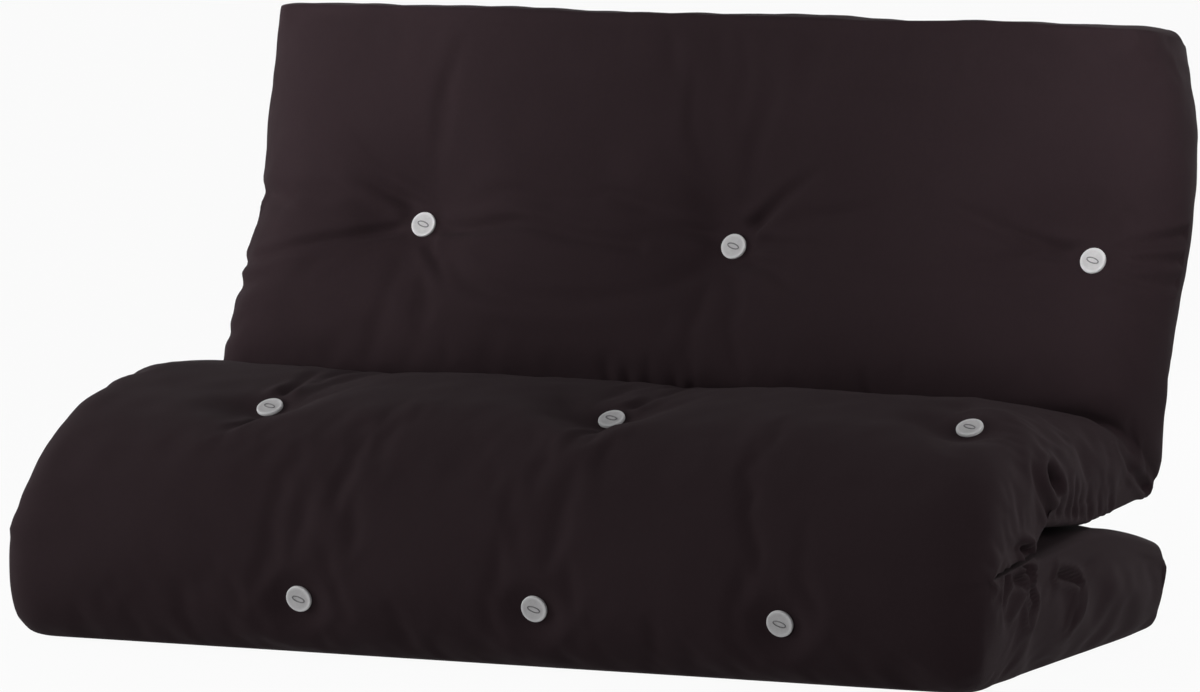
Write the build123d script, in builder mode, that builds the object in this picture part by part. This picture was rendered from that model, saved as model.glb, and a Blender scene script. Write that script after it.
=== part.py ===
"""Double futon mattress folded as a low sofa: a back, a seat and a base folded under the seat.

X runs along the sofa, Y to the rear, Z up, with the floor at Z = 0.
The side view is drawn with y = 0 at the nose of the front roll, and places along it as (y, z).
"""
import os
from math import hypot

from build123d import *

os.makedirs("parts", exist_ok=True)

# Overall sizes of the folded mattress, millimetres
PANEL_HALF = 664.0      # middle to the side seam of the panels
BORDER_SWELL = 12.0     # how far a side border swells beyond its seam
FILL_HALF = 655.0       # middle to the end of the fill layers
END_DRAW = 0.13         # share of the thickness that a side seam draws in
DRAW_START = 0.72       # share of the half width where the drawing in starts
HEAD_SWELL = 14.0       # crown of the head border
FOOT_SWELL = 26.0       # crown of the foot border
MIDDLE_Y = 433.5        # middle of the footprint, behind the nose
END_STEPS = (0.72, 0.88, 1)  # cross-sections of a drawn-in end, as shares of the half width

# Fold points of the side view
NOSE = (0.0, 148.0)            # foremost line of the roll
INNER_FOLD = (165.0, 148.0)    # where the two reverse sides meet inside the roll
CREASE = (558.0, 326.0)        # where the back meets the seat
HEEL = (752.0, 192.0)          # outer corner of the fold behind the seat
FOLD_PLAY = 0.4                # half the gap between two folded sections
FLOOR_PRESS = 0.6              # the cover is pressed flat this deep where it lies on the floor

# Depths of the layers, as shares of the thickness from the sleeping side
CLOTH = 0.016
UPPER = (0.020, 0.270)
CORE = (0.274, 0.726)
LOWER = (0.730, 0.980)
CLOTH_THICKNESS = 2.6
LAYER_GAP = 0.5
SEAM_GAP = 0.3

# Tufts: a felt disc at each end of a loop of twine that pulls the cover into a dimple
DISC_RADIUS = 18.0
REVERSE_RADIUS = 12.0
DISC_THICKNESS = 6.0
DISC_BEVEL = 1.6
DIMPLE_FLOOR = 21.0
TWINE_RADIUS = 1.5
TWINE_PITCH = 14.0
TWINE_CHANNEL = 10.0
POCKET_RADIUS = 14.0


def moved(point, step, direction):
    """A side-view point moved by a step along a direction."""
    length = hypot(*direction)
    return (point[0] + step * direction[0] / length, point[1] + step * direction[1] / length)


def mixed(start, end, share):
    """The point at a share of the way from one side-view point to another."""
    return tuple(a + (b - a) * share for a, b in zip(start, end))


def bent(start, middle, end, count):
    """Points of the bend through three side-view points, without its first point."""
    points = []
    for step in range(1, count + 1):
        t = step / count
        weights = ((1 - t) * (1 - 2 * t), 4 * t * (1 - t), t * (2 * t - 1))
        points.append(tuple(sum(w * p[axis] for w, p in zip(weights, (start, middle, end))) for axis in (0, 1)))
    return points


# Upward directions square to the two fold planes
ROLL_UP = (0.0, 1.0)
HEEL_UP = (CREASE[1] - HEEL[1], HEEL[0] - CREASE[0])

# Each section: its sleeping side (face) and its reverse side as runs of bends, three points to a bend with
# shared ends, and a straight run where a point is left over. flats is the number of flats in each bend.
# places are the floors of the dimples as (x, y, z) and out is the way that the discs face.
BACK = dict(
    face=[moved(CREASE, FOLD_PLAY, HEEL_UP), (610, 430), (666, 556), (700, 690), (720, 810)],
    reverse=[moved(HEEL, FOLD_PLAY, HEEL_UP), (758, 310), (792, 440), (838, 590), (868, 777)],
    flats=(3, 3), reverse_draw=0.6 * END_DRAW,
    places=((-398, 672, 518), (73, 668, 503), (594, 667, 501)), out=(-0.914, 0.406),
    radius=60.0, depth=22.0, through=119.0, reverse_radius=46.0, reverse_depth=16.0,
)
SEAT = dict(
    face=[moved(NOSE, FOLD_PLAY, ROLL_UP), (38, 238), (140, 306), (320, 343), moved(CREASE, -FOLD_PLAY, HEEL_UP)],
    reverse=[
        moved(INNER_FOLD, FOLD_PLAY, ROLL_UP), (176, 149.6), (195, 151), (450, 167),
        moved(HEEL, -FOLD_PLAY, HEEL_UP),
    ],
    flats=(6, 3), reverse_draw=0.0,
    places=((-396, 202, 305), (90, 232, 307), (580, 262, 314)), out=(-0.5, 0.866),
    radius=62.0, depth=22.0, through=138.0, reverse_radius=0.0, reverse_depth=0.0,
)
BASE = dict(
    face=[moved(NOSE, -FOLD_PLAY, ROLL_UP), (3, 84), (34, 25), (62, 6), (100, -FLOOR_PRESS), (742, -FLOOR_PRESS)],
    reverse=[moved(INNER_FOLD, -FOLD_PLAY, ROLL_UP), (176, 147.9), (195, 148.3), (360, 154), (520, 163), (732, 124)],
    flats=(4, 3), reverse_draw=0.0,
    places=((-256, 13, 81), (82, 13, 86), (424, 13, 86)), out=(-0.96, -0.28),
    radius=40.0, depth=10.0, through=128.0, reverse_radius=0.0, reverse_depth=0.0,
)
SECTIONS = dict(back=BACK, seat=SEAT, base=BASE)
PANEL_NAMES = dict(
    back=("back_front_panel", "back_rear_panel"),
    seat=("seat_top_panel", "seat_under_panel"),
    base=("base_front_panel", "base_inner_panel"),
)


def layer_line(section, x, share):
    """Side-view points at one depth of a section, drawn in towards the side seams."""
    spread = max(0.0, (abs(x) / PANEL_HALF - DRAW_START) / (1 - DRAW_START)) ** 2
    first = END_DRAW * spread
    last = 1 - section["reverse_draw"] * spread
    depth = first + (last - first) * share
    points = [mixed(near, far, depth) for near, far in zip(section["face"], section["reverse"])]
    early, late = section["flats"]
    return [points[0], *bent(*points[0:3], early), *bent(*points[2:5], late), *points[5:]]


def outline_face(x, points):
    """Closed cross-section on the upright plane at x."""
    with BuildSketch(Plane(origin=(x, -MIDDLE_Y, 0), x_dir=(0, 1, 0), z_dir=(1, 0, 0))) as face:
        with BuildLine():
            Polyline(*points, close=True)
        make_face()
    return face.sketch


def layer_face(section, x, near, far):
    """Cross-section of a layer between two depths."""
    return outline_face(x, [*layer_line(section, x, near), *reversed(layer_line(section, x, far))])


def run_along(half, face_at):
    """Solid along X from the cross-sections face_at(x): a straight middle and two drawn-in ends."""
    extrude(face_at(0), amount=END_STEPS[0] * half, both=True)
    for side in (-half, half):
        loft([face_at(side * step) for step in END_STEPS], ruled=True)


def tuft_planes(section):
    """Planes on the floors of a row's dimples, facing out."""
    out = section["out"]
    return [
        Plane(origin=(x, y - MIDDLE_Y, z), x_dir=(1, 0, 0), z_dir=(0, *out)) for x, y, z in section["places"]
    ]


def reverse_planes(section):
    """Planes at the far ends of a row's tufts, facing away from the discs in front."""
    return [
        Plane(origin=plane.offset(-section["through"]).origin, x_dir=plane.x_dir, z_dir=-plane.z_dir)
        for plane in tuft_planes(section)
    ]


def bowls(planes, radius, depth, below):
    """Bowls on the planes, each with its floor this far below its plane."""
    steep = (radius - DIMPLE_FLOOR) / depth
    with Locations(*[plane.offset(-below) for plane in planes]):
        Cone(DIMPLE_FLOOR, DIMPLE_FLOOR + 3 * depth * steep, 3 * depth, align=(Align.CENTER, Align.CENTER, Align.MIN))


def across(direction, other):
    """The direction square to a side-view direction, on the same side as another."""
    square = (-direction[1], direction[0])
    same = square[0] * other[0] + square[1] * other[1] > 0
    return square if same else (direction[1], -direction[0])


def finish(part, label):
    """Name a piece and write its file."""
    part.label = label
    export_step(part, f"parts/{label}.step")


for name, section in SECTIONS.items():
    face_name, reverse_name = PANEL_NAMES[name]
    front, rear = tuft_planes(section), reverse_planes(section)
    front_bowl = section["radius"], section["depth"]
    rear_bowl = section["reverse_radius"], section["reverse_depth"]
    shows_behind = section["reverse_depth"] > 0
    length = section["through"] + 2 * DISC_THICKNESS

    # Room for the twine and, where the far discs lie inside the fold, for those discs
    with BuildPart() as channels:
        with BuildSketch(*[plane.offset(DISC_THICKNESS) for plane in front]):
            RegularPolygon(TWINE_CHANNEL, 6)
        extrude(amount=-length)
        if not shows_behind:
            with BuildSketch(*rear):
                RegularPolygon(POCKET_RADIUS, 8)
            extrude(amount=length)

    # Cover panel of the sleeping side, pulled into a lined dimple at each tuft, pressed flat on the floor
    with BuildPart() as hollows:
        bowls(front, *front_bowl, 0)
    with BuildPart() as slab:
        run_along(PANEL_HALF, lambda x: layer_face(section, x, 0, 1))
    with BuildPart() as lining:
        bowls(front, *front_bowl, CLOTH_THICKNESS)
        add(hollows.part, mode=Mode.SUBTRACT)
        add(channels.part, mode=Mode.SUBTRACT)
        add(slab.part, mode=Mode.INTERSECT)
    with BuildPart() as face_panel:
        run_along(PANEL_HALF, lambda x: layer_face(section, x, 0, CLOTH))
        add(hollows.part, mode=Mode.SUBTRACT)
        add(lining.part)
        split(bisect_by=Plane.XY, keep=Keep.TOP)
    finish(face_panel.part, face_name)

    # Cover panel of the reverse side, with smaller dimples where it shows
    with BuildPart() as reverse_panel:
        run_along(PANEL_HALF, lambda x: layer_face(section, x, 1 - CLOTH, 1))
        if not shows_behind:
            add(channels.part, mode=Mode.SUBTRACT)
    if shows_behind:
        with BuildPart() as rear_hollows:
            bowls(rear, *rear_bowl, 0)
        with BuildPart() as rear_lining:
            bowls(rear, *rear_bowl, CLOTH_THICKNESS)
            add(rear_hollows.part, mode=Mode.SUBTRACT)
            add(channels.part, mode=Mode.SUBTRACT)
            add(slab.part, mode=Mode.INTERSECT)
        with BuildPart() as rear_panel:
            add(reverse_panel.part)
            add(rear_hollows.part, mode=Mode.SUBTRACT)
            add(rear_lining.part)
        finish(rear_panel.part, reverse_name)
    else:
        finish(reverse_panel.part, reverse_name)

    # Loose cotton batting under the sleeping side
    with BuildPart() as upper_room:
        bowls(front, *front_bowl, CLOTH_THICKNESS + LAYER_GAP)
        add(channels.part)
    with BuildPart() as upper_batting:
        run_along(FILL_HALF, lambda x: layer_face(section, x, *UPPER))
        add(upper_room.part, mode=Mode.SUBTRACT)
    finish(upper_batting.part, f"{name}_upper_batting")

    # Firm felted core
    with BuildPart() as core:
        run_along(FILL_HALF, lambda x: layer_face(section, x, *CORE))
        add(upper_room.part, mode=Mode.SUBTRACT)
    finish(core.part, f"{name}_core")

    # Loose cotton batting on the reverse side
    with BuildPart() as lower_room:
        if shows_behind:
            bowls(rear, *rear_bowl, CLOTH_THICKNESS + LAYER_GAP)
        add(channels.part)
    with BuildPart() as lower_batting:
        run_along(FILL_HALF, lambda x: layer_face(section, x, *LOWER))
        add(lower_room.part, mode=Mode.SUBTRACT)
    finish(lower_batting.part, f"{name}_lower_batting")

    # Side borders, rolled out over the ends of the fill
    for side, sign in (("left", -1), ("right", 1)):
        near, far = layer_line(section, sign * PANEL_HALF, 0), layer_line(section, sign * PANEL_HALF, 1)
        shallow = [mixed(a, b, 0.12) for a, b in zip(near, far)]
        deep = [mixed(a, b, 0.88) for a, b in zip(near, far)]
        seam = outline_face(sign * (PANEL_HALF + SEAM_GAP), [*near, *reversed(far)])
        crest = outline_face(sign * (PANEL_HALF + BORDER_SWELL), [*shallow, *reversed(deep)])
        with BuildPart() as side_border:
            loft([seam, crest], ruled=True)
        finish(side_border.part, f"{name}_{side}_border")

    # Felt discs of the tufts, bevelled, with two stitch holes each
    with BuildPart() as tuft_discs:
        for plane in front:
            with BuildSketch(plane.offset(SEAM_GAP)):
                RegularPolygon(DISC_RADIUS, 24)
            extrude(amount=DISC_THICKNESS)
            chamfer(tuft_discs.faces(Select.LAST).sort_by(Axis(plane.origin, plane.z_dir))[-1].edges(), DISC_BEVEL)
            with BuildSketch(plane):
                with Locations((-TWINE_PITCH / 2, 0), (TWINE_PITCH / 2, 0)):
                    RegularPolygon(TWINE_RADIUS + 1.2, 6)
            extrude(amount=2 * DISC_THICKNESS, mode=Mode.SUBTRACT)
    finish(tuft_discs.part, f"{name}_tuft_discs")

    # Smaller felt discs at the far ends of the tufts
    with BuildPart() as reverse_discs:
        with BuildSketch(*[plane.offset(SEAM_GAP) for plane in rear]):
            RegularPolygon(REVERSE_RADIUS, 16)
            with Locations((-TWINE_PITCH / 2, 0), (TWINE_PITCH / 2, 0)):
                RegularPolygon(TWINE_RADIUS + 1.2, 6, mode=Mode.SUBTRACT)
        extrude(amount=DISC_THICKNESS)
    finish(reverse_discs.part, f"{name}_reverse_discs")

    # Closed loops of tufting twine through each pair of discs
    half = TWINE_PITCH / 2
    top = DISC_THICKNESS + TWINE_RADIUS + 2 * SEAM_GAP
    bottom = -section["through"] - top
    with BuildPart() as tuft_twines:
        for plane in front:
            with BuildLine(Plane(origin=plane.origin, x_dir=plane.x_dir, z_dir=plane.x_dir.cross(plane.z_dir))) as loop:
                Polyline((half, 0), (half, top), (-half, top), (-half, bottom), (half, bottom), (half, 0))
            with BuildSketch(Plane(loop.line @ 0, x_dir=plane.x_dir, z_dir=loop.line % 0)):
                RegularPolygon(TWINE_RADIUS, 6)
            sweep(path=loop.line, transition=Transition.RIGHT)
    finish(tuft_twines.part, f"{name}_tuft_twines")


def end_face(section, swell, x):
    """Cross-section of a border that closes the free end of a section."""
    start, end = layer_line(section, x, 0)[-1], layer_line(section, x, 1)[-1]
    out = across((end[0] - start[0], end[1] - start[1]), (start[0] - NOSE[0], start[1] - NOSE[1]))
    seam = moved(start, SEAM_GAP, out), moved(end, SEAM_GAP, out)
    crown = moved(mixed(*seam, 0.5), swell, out)
    return outline_face(x, [seam[0], *bent(seam[0], crown, seam[1], 6)])


# Head border across the top of the back
with BuildPart() as head_border:
    run_along(PANEL_HALF, lambda x: end_face(BACK, HEAD_SWELL, x))
finish(head_border.part, "back_head_border")

# Foot border across the rear edge of the base
with BuildPart() as foot_border:
    run_along(PANEL_HALF, lambda x: end_face(BASE, FOOT_SWELL, x))
    split(bisect_by=Plane.XY, keep=Keep.TOP)
finish(foot_border.part, "base_foot_border")
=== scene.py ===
import math

import bmesh
import bpy
import numpy as np
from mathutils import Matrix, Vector


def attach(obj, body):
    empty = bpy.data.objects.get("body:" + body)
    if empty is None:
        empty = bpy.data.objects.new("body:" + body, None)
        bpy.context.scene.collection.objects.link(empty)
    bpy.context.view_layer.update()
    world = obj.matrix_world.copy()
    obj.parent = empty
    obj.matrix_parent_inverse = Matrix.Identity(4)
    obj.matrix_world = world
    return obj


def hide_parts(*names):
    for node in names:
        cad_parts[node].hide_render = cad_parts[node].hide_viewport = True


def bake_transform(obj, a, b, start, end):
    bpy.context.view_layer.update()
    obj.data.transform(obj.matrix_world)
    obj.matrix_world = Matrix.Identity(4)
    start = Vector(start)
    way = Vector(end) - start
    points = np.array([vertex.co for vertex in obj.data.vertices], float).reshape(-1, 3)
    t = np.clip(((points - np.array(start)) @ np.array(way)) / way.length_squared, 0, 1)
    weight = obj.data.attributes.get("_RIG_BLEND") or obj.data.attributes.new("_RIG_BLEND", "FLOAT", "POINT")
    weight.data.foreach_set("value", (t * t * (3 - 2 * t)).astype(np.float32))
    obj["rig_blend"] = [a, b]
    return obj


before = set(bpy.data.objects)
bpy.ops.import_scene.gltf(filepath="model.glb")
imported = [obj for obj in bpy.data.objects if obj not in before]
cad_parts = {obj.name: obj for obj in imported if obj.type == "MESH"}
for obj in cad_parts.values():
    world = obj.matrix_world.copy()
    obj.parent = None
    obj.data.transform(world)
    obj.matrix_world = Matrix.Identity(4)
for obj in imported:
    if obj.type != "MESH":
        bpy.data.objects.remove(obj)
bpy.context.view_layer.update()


# The view: the mattress is seen from in front and a little to its right, from just above the seat, with a
# long lens. The side view of the mattress is drawn with y = 0 at the nose of its front roll.
NOSE_Y = -0.4335
VIEW_DISTANCE = 9.255
view_turn, view_rise = math.radians(24.87), math.radians(5.63)
view_target = Vector((0.0, 0.330 + NOSE_Y, 0.330))
view_back = Vector((
    math.sin(view_turn) * math.cos(view_rise),
    -math.cos(view_turn) * math.cos(view_rise),
    math.sin(view_rise),
))
lens_data = bpy.data.cameras.new("view")
lens_data.sensor_width = 36.0
lens_data.lens = 210.0
lens_data.shift_x = 0.0158
lens_data.shift_y = 0.0398
lens_data.clip_end = 60.0
camera = bpy.data.objects.new("view", lens_data)
camera.location = view_target + view_back * VIEW_DISTANCE
camera.rotation_euler = view_back.to_track_quat("Z", "Y").to_euler()
bpy.context.scene.collection.objects.link(camera)
bpy.context.scene.camera = camera
bpy.context.scene.view_settings.view_transform = "Standard"


# The studio: a plain pale floor that runs out to a white surround, soft lamps in front, behind and at both
# sides, two weak ones aimed at the upper corners of the back, and the even light of a white room.
FLOOR_REACH, FLOOR_WHITE = 30.0, 0.95


def add_math(tree, operation, *values):
    """A math node on sockets or plain numbers, and its result."""
    node = tree.nodes.new("ShaderNodeMath")
    node.operation = operation
    for socket, value in zip(node.inputs, values):
        if isinstance(value, bpy.types.NodeSocket):
            tree.links.new(value, socket)
        else:
            socket.default_value = value
    return node.outputs[0]


def seen_directly(tree):
    """1 for what the camera sees, also in a mirror or through glass, and 0 for light that falls on things."""
    path = tree.nodes.new("ShaderNodeLightPath").outputs
    mirrored = add_math(tree, "MAXIMUM", path["Is Glossy Ray"], path["Is Transmission Ray"])
    return add_math(tree, "MAXIMUM", path["Is Camera Ray"], mirrored)


floor_mesh = bpy.data.meshes.new("floor")
floor_mesh.from_pydata([
    (across * FLOOR_REACH, deep * FLOOR_REACH, 0) for across, deep in ((-1, -1), (1, -1), (1, 1), (-1, 1))
], [], [(0, 1, 2, 3)])
floor = bpy.data.objects.new("floor", floor_mesh)
floor.location.z = -0.001
bpy.context.scene.collection.objects.link(floor)
floor_paint = bpy.data.materials.new("pale_floor")
floor_paint.use_nodes = True
floor_shader = floor_paint.node_tree.nodes["Principled BSDF"]
floor_shader.inputs["Base Color"].default_value = (0.6, 0.6, 0.6, 1)
floor_shader.inputs["Roughness"].default_value = 0.9
floor_nodes, floor_links = floor_paint.node_tree.nodes, floor_paint.node_tree.links
floor_glow = floor_nodes.new("ShaderNodeEmission")
floor_glow.inputs["Color"].default_value = (1, 1, 1, 1)
floor_mix = floor_nodes.new("ShaderNodeMixShader")
floor_share = add_math(floor_paint.node_tree, "MULTIPLY", seen_directly(floor_paint.node_tree), FLOOR_WHITE)
floor_links.new(floor_share, floor_mix.inputs[0])
floor_links.new(floor_shader.outputs[0], floor_mix.inputs[1])
floor_links.new(floor_glow.outputs[0], floor_mix.inputs[2])
floor_links.new(floor_mix.outputs[0], floor_nodes["Material Output"].inputs["Surface"])
floor_mesh.materials.append(floor_paint)

room = bpy.data.worlds.new("white_room")
bpy.context.scene.world = room
room.use_nodes = True
room_nodes, room_links = room.node_tree.nodes, room.node_tree.links
room_nodes.clear()
room_out = room_nodes.new("ShaderNodeOutputWorld")
room_seen = room_nodes.new("ShaderNodeBackground")
room_seen.inputs["Color"].default_value = (1, 1, 1, 1)
room_seen.inputs["Strength"].default_value = 1.0
room_light = room_nodes.new("ShaderNodeBackground")
room_light.inputs["Color"].default_value = (0.96, 0.98, 1.0, 1)
room_light.inputs["Strength"].default_value = 0.13
room_pick = room_nodes.new("ShaderNodeMixShader")
room_links.new(seen_directly(room.node_tree), room_pick.inputs[0])
room_links.new(room_light.outputs[0], room_pick.inputs[1])
room_links.new(room_seen.outputs[0], room_pick.inputs[2])
room_links.new(room_pick.outputs[0], room_out.inputs["Surface"])

for lamp_name, lamp_at, lamp_aim, lamp_size, lamp_spread, lamp_power in (
    ("key_front", (-0.8, -3.4, 0.6), (0, 0, 0.4), 1.8, 180, 29.0),
    ("soft_left", (-2.2, -1.1, 0.9), (0, 0, 0.4), 1.2, 180, 23.0),
    ("soft_right", (2.4, -0.5, 1.1), (0, 0, 0.4), 1.2, 180, 10.5),
    ("head_left", (-1.3, -2.2, 1.8), (-0.90, 0.28, 1.04), 0.9, 36, 4.4),
    ("head_right", (1.5, -2.2, 1.9), (0.96, 0.28, 1.0), 0.9, 36, 4.4),
    ("soft_rear", (1.0, 3.2, 2.0), (0, 0, 0.4), 1.6, 180, 22.0),
):
    lamp_data = bpy.data.lights.new(lamp_name, "AREA")
    lamp_data.shape = "DISK"
    lamp_data.size = lamp_size
    lamp_data.spread = math.radians(lamp_spread)
    lamp_data.energy = lamp_power
    lamp = bpy.data.objects.new(lamp_name, lamp_data)
    lamp.location = lamp_at
    lamp.rotation_euler = (Vector(lamp_aim) - Vector(lamp_at)).to_track_quat("-Z", "Y").to_euler()
    bpy.context.scene.collection.objects.link(lamp)


# The mattress: layers of cotton in a drill cover, folded into a back, a seat and a base under the seat.
# The cover is one closed bag, so it is made as one tube from the head end, down the back, over the seat,
# round the roll and under it to the foot end, and is parted unseen across the seat only for its two folds.

# Pairs of side-view points, millimetres: on the sleeping side, and on the reverse side across the thickness.
back_pairs = [
    ((720, 803), (868, 770)), ((711, 745), (856, 690)), ((700, 690), (840, 600)), ((684, 622), (817, 515)),
    ((664, 552), (793, 440)), ((640, 494), (773, 372)), ((612, 428), (759, 310)), ((592, 378), (752, 255)),
    ((582, 342), (749, 222)), ((583, 319), (748, 205)), ((598, 301), (747, 197)),
]
seat_pairs = [
    ((597, 296), (746, 187)), ((572, 299), (735, 183.5)), ((548, 305), (700, 181.5)),
    ((505, 311), (640, 178.6)), ((440, 316), (560, 175.5)), ((320, 322), (450, 171)),
    ((220, 318), (330, 165.5)), ((140, 302), (230, 161)), ((80, 272), (175, 158.5)),
    ((34, 226), (120, 156)), ((9, 186), (85, 154)), ((0, 148), (60, 151.5)),
]
base_pairs = [
    ((0, 148), (60, 150)), ((-1, 116), (78, 150)), ((3, 84), (95, 150.8)), ((11, 54), (125, 152.2)),
    ((26, 26), (170, 154.2)), ((48, 8), (230, 156.9)), ((78, 0.6), (300, 160)), ((150, 0), (370, 163)),
    ((300, 0), (440, 166)), ((430, 0), (530, 162)), ((560, 0), (610, 150)), ((660, 0), (680, 136)),
    ((736, 2), (730, 124)),
]
HALF_WIDTH = 676.0
RING_STEP, FLOOR_STEP = 11.0, 30.0     # along the mattress, on its visible sides and on the floor
GATHER_STEP, GATHER_END = 12.0, 450.0  # on the reverse side of the base, as far back as its ends are creased
COLUMNS = 113                          # across each broad side
BORDER_ROWS = 11                       # across the borders between their corners
corner_turns = np.radians((15, 30, 45, 60, 75, 90))
SLEEPING_CORNER, FLOOR_CORNER, REVERSE_CORNER, ROLL_CORNER = 50.0, 30.0, 13.0, 1.0
CORNER_MOST, REVERSE_MOST = 0.62, 0.3  # shares of the thickness that the corners take at most
BORDER_SWELL, HEAD_SWELL, FOOT_SWELL = 5.0, 12.0, 22.0
HEAD_CROWN, FOOT_CROWN = 0.5, 0.72     # where the end borders stand out most, from the sleeping side
END_NARROW = 20.0                      # how far the middles of the head and foot borders draw in
border_shares = (0.025, 0.08, 0.17, 0.28, 0.40, 0.5)


def smooth_run(points, at):
    """Smooth curve through points, read at places counted in points."""
    points = np.asarray(points, float)
    gap = np.linalg.norm(np.diff(points, axis=0), axis=1)[:, None]
    slope = np.diff(points, axis=0) / gap
    tangent = np.vstack([
        slope[:1],
        (slope[1:] * gap[:-1] + slope[:-1] * gap[1:]) / (gap[1:] + gap[:-1]),
        slope[-1:],
    ])
    first = np.clip(np.floor(at).astype(int), 0, len(points) - 2)
    w = (at - first)[:, None]
    h = gap[first]
    return (
        (1 + 2 * w) * (1 - w) ** 2 * points[first] + w * (1 - w) ** 2 * h * tangent[first]
        + w ** 2 * (3 - 2 * w) * points[first + 1] + w ** 2 * (w - 1) * h * tangent[first + 1]
    )


def ring_places(pairs):
    """Places of the rings along a section, about a ring step apart on the sleeping side."""
    places = [0.0]
    for index, (start, end) in enumerate(zip(pairs, pairs[1:])):
        step = FLOOR_STEP if start[0][1] + end[0][1] < 3 else RING_STEP
        count = max(1, round(math.dist(start[0], end[0]) / step))
        if end[0][1] < 1 and end[1][0] < GATHER_END:
            count = max(count, round(math.dist(start[1], end[1]) / GATHER_STEP))
        places += [index + (part + 1) / count for part in range(count)]
    return np.array(places)


rings = []                # sleeping-side point, reverse-side point, place along the mattress, narrowing
front_run = [pair[0] for pair in seat_pairs] + [pair[0] for pair in base_pairs[1:]]
for section, pairs in enumerate((back_pairs, seat_pairs, base_pairs)):
    places = ring_places(pairs)
    reverse = smooth_run([pair[1] for pair in pairs], places)
    if section == 0:
        sleeping = smooth_run([pair[0] for pair in pairs], places)
    else:
        sleeping = smooth_run(front_run, places + (0 if section == 1 else len(seat_pairs) - 1))
    along = section + places / (len(pairs) - 1)
    rings += [(sleeping[i], reverse[i], along[i], 0.0) for i in range(len(places))]


def end_rings(ring, inner, swell, crown):
    """Rings that close the head or the foot over its end border, crowned at this share of the thickness."""
    face, reverse, along, _ = ring
    out = face + reverse - inner[0] - inner[1]
    across = (reverse - face) / np.linalg.norm(reverse - face)
    out -= across * (out @ across)
    out /= np.linalg.norm(out)
    closed = []
    for share in border_shares:
        rise = out * swell * 4 * share * (1 - share)
        narrow = END_NARROW * (1 - math.sqrt(1 - 4 * share * share))
        closed.append((
            face + (reverse - face) * 2 * share * crown + rise,
            reverse + (face - reverse) * 2 * share * (1 - crown) + rise, along, narrow,
        ))
    return closed


rings = (
    end_rings(rings[0], rings[2], HEAD_SWELL, HEAD_CROWN)[::-1] + rings
    + end_rings(rings[-1], rings[-3], FOOT_SWELL, FOOT_CROWN)
)

# Half widths along the mattress from the head (0) over the crease (1) and the nose (2) to the foot (3), how
# far the ends are rounded towards the sleeping side, and how far the head stands higher on the left.
WIDTH_RUN = 300.0
width_places = np.array((0.0, 0.12, 0.5, 0.85, 1.0, 1.4, 1.75, 2.0, 2.25, 2.5, 3.0))
left_widths = (668, 676, 681, 692, 700, 688, 690, 697, 699, 696, 672)
right_widths = (655, 673, 671, 664, 655, 662, 682, 692, 690, 676, 668)
left_rounds = (40, 44, 50, 56, 58, 58, 62, 62, 52, 40, 36)
right_rounds = (30, 34, 44, 54, 58, 58, 84, 100, 70, 40, 34)
REVERSE_ROUND, ROLL_ROUND = 18.0, 1.5
HEAD_LIFT, HEAD_TILT, LIFT_POWER = 12.0, 6.0, 1.5

# Where along the mattress each form holds, and how far it takes to fade: the back above the crease, the base
# flat on the floor, and the roll, whose bunched ends have sharp inner corners.
BACK_FADE, CREASE_FADE = 0.3, 0.06
FLAT_START, FLAT_FADE = 2.05, 0.3
ROLL_START, ROLL_END, ROLL_FADE = 1.59, 2.47, 0.06
# Share of the thickness that the ends draw in, with the seat's own at each end.
END_DRAW, LEFT_SEAT_DRAW, RIGHT_SEAT_DRAW = 0.07, -0.19, 0.005
DRAW_START, DRAW_SPAN, REVERSE_DRAW = 0.55, 0.45, 0.5
SEAT_MIDDLE, SEAT_SPREAD = 1.27, 0.28
# Between its ends the base rises a little further back to meet the seat.
crest_places, crest_rises = (2.64, 2.75, 2.80, 2.86, 2.93), (0, 8, 14, 10, 0)
CREST_EDGE, CREST_FADE = 630.0, 90.0


def width_at(values, along):
    """A value of the width table at a place along the mattress."""
    at = np.interp(along, width_places, np.arange(len(width_places)))
    return float(smooth_run(np.column_stack([width_places * WIDTH_RUN, values]), np.array([at]))[0, 1])


def end_profile(rounding, reverse_rounding, drawn, reverse_drawn, near_corner, far_corner):
    """Round of an end from the sleeping side to the reverse side: how far out, and share of the thickness."""
    span = 1 - drawn - reverse_drawn
    first = drawn + near_corner * (1 - np.cos(corner_turns)) * span
    last = 1 - reverse_drawn - far_corner * (1 - np.cos(corner_turns)) * span
    between = np.linspace(0, 1, BORDER_ROWS + 2)[1:-1]
    swell = BORDER_SWELL * 4 * between * (1 - between)
    out = np.concatenate([
        rounding * np.sin(corner_turns), rounding + swell,
        rounding - reverse_rounding * (1 - np.sin(corner_turns[::-1])),
    ])
    return out, np.concatenate([first, first[-1] + (last[-1] - first[-1]) * between, last[::-1]])


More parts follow.
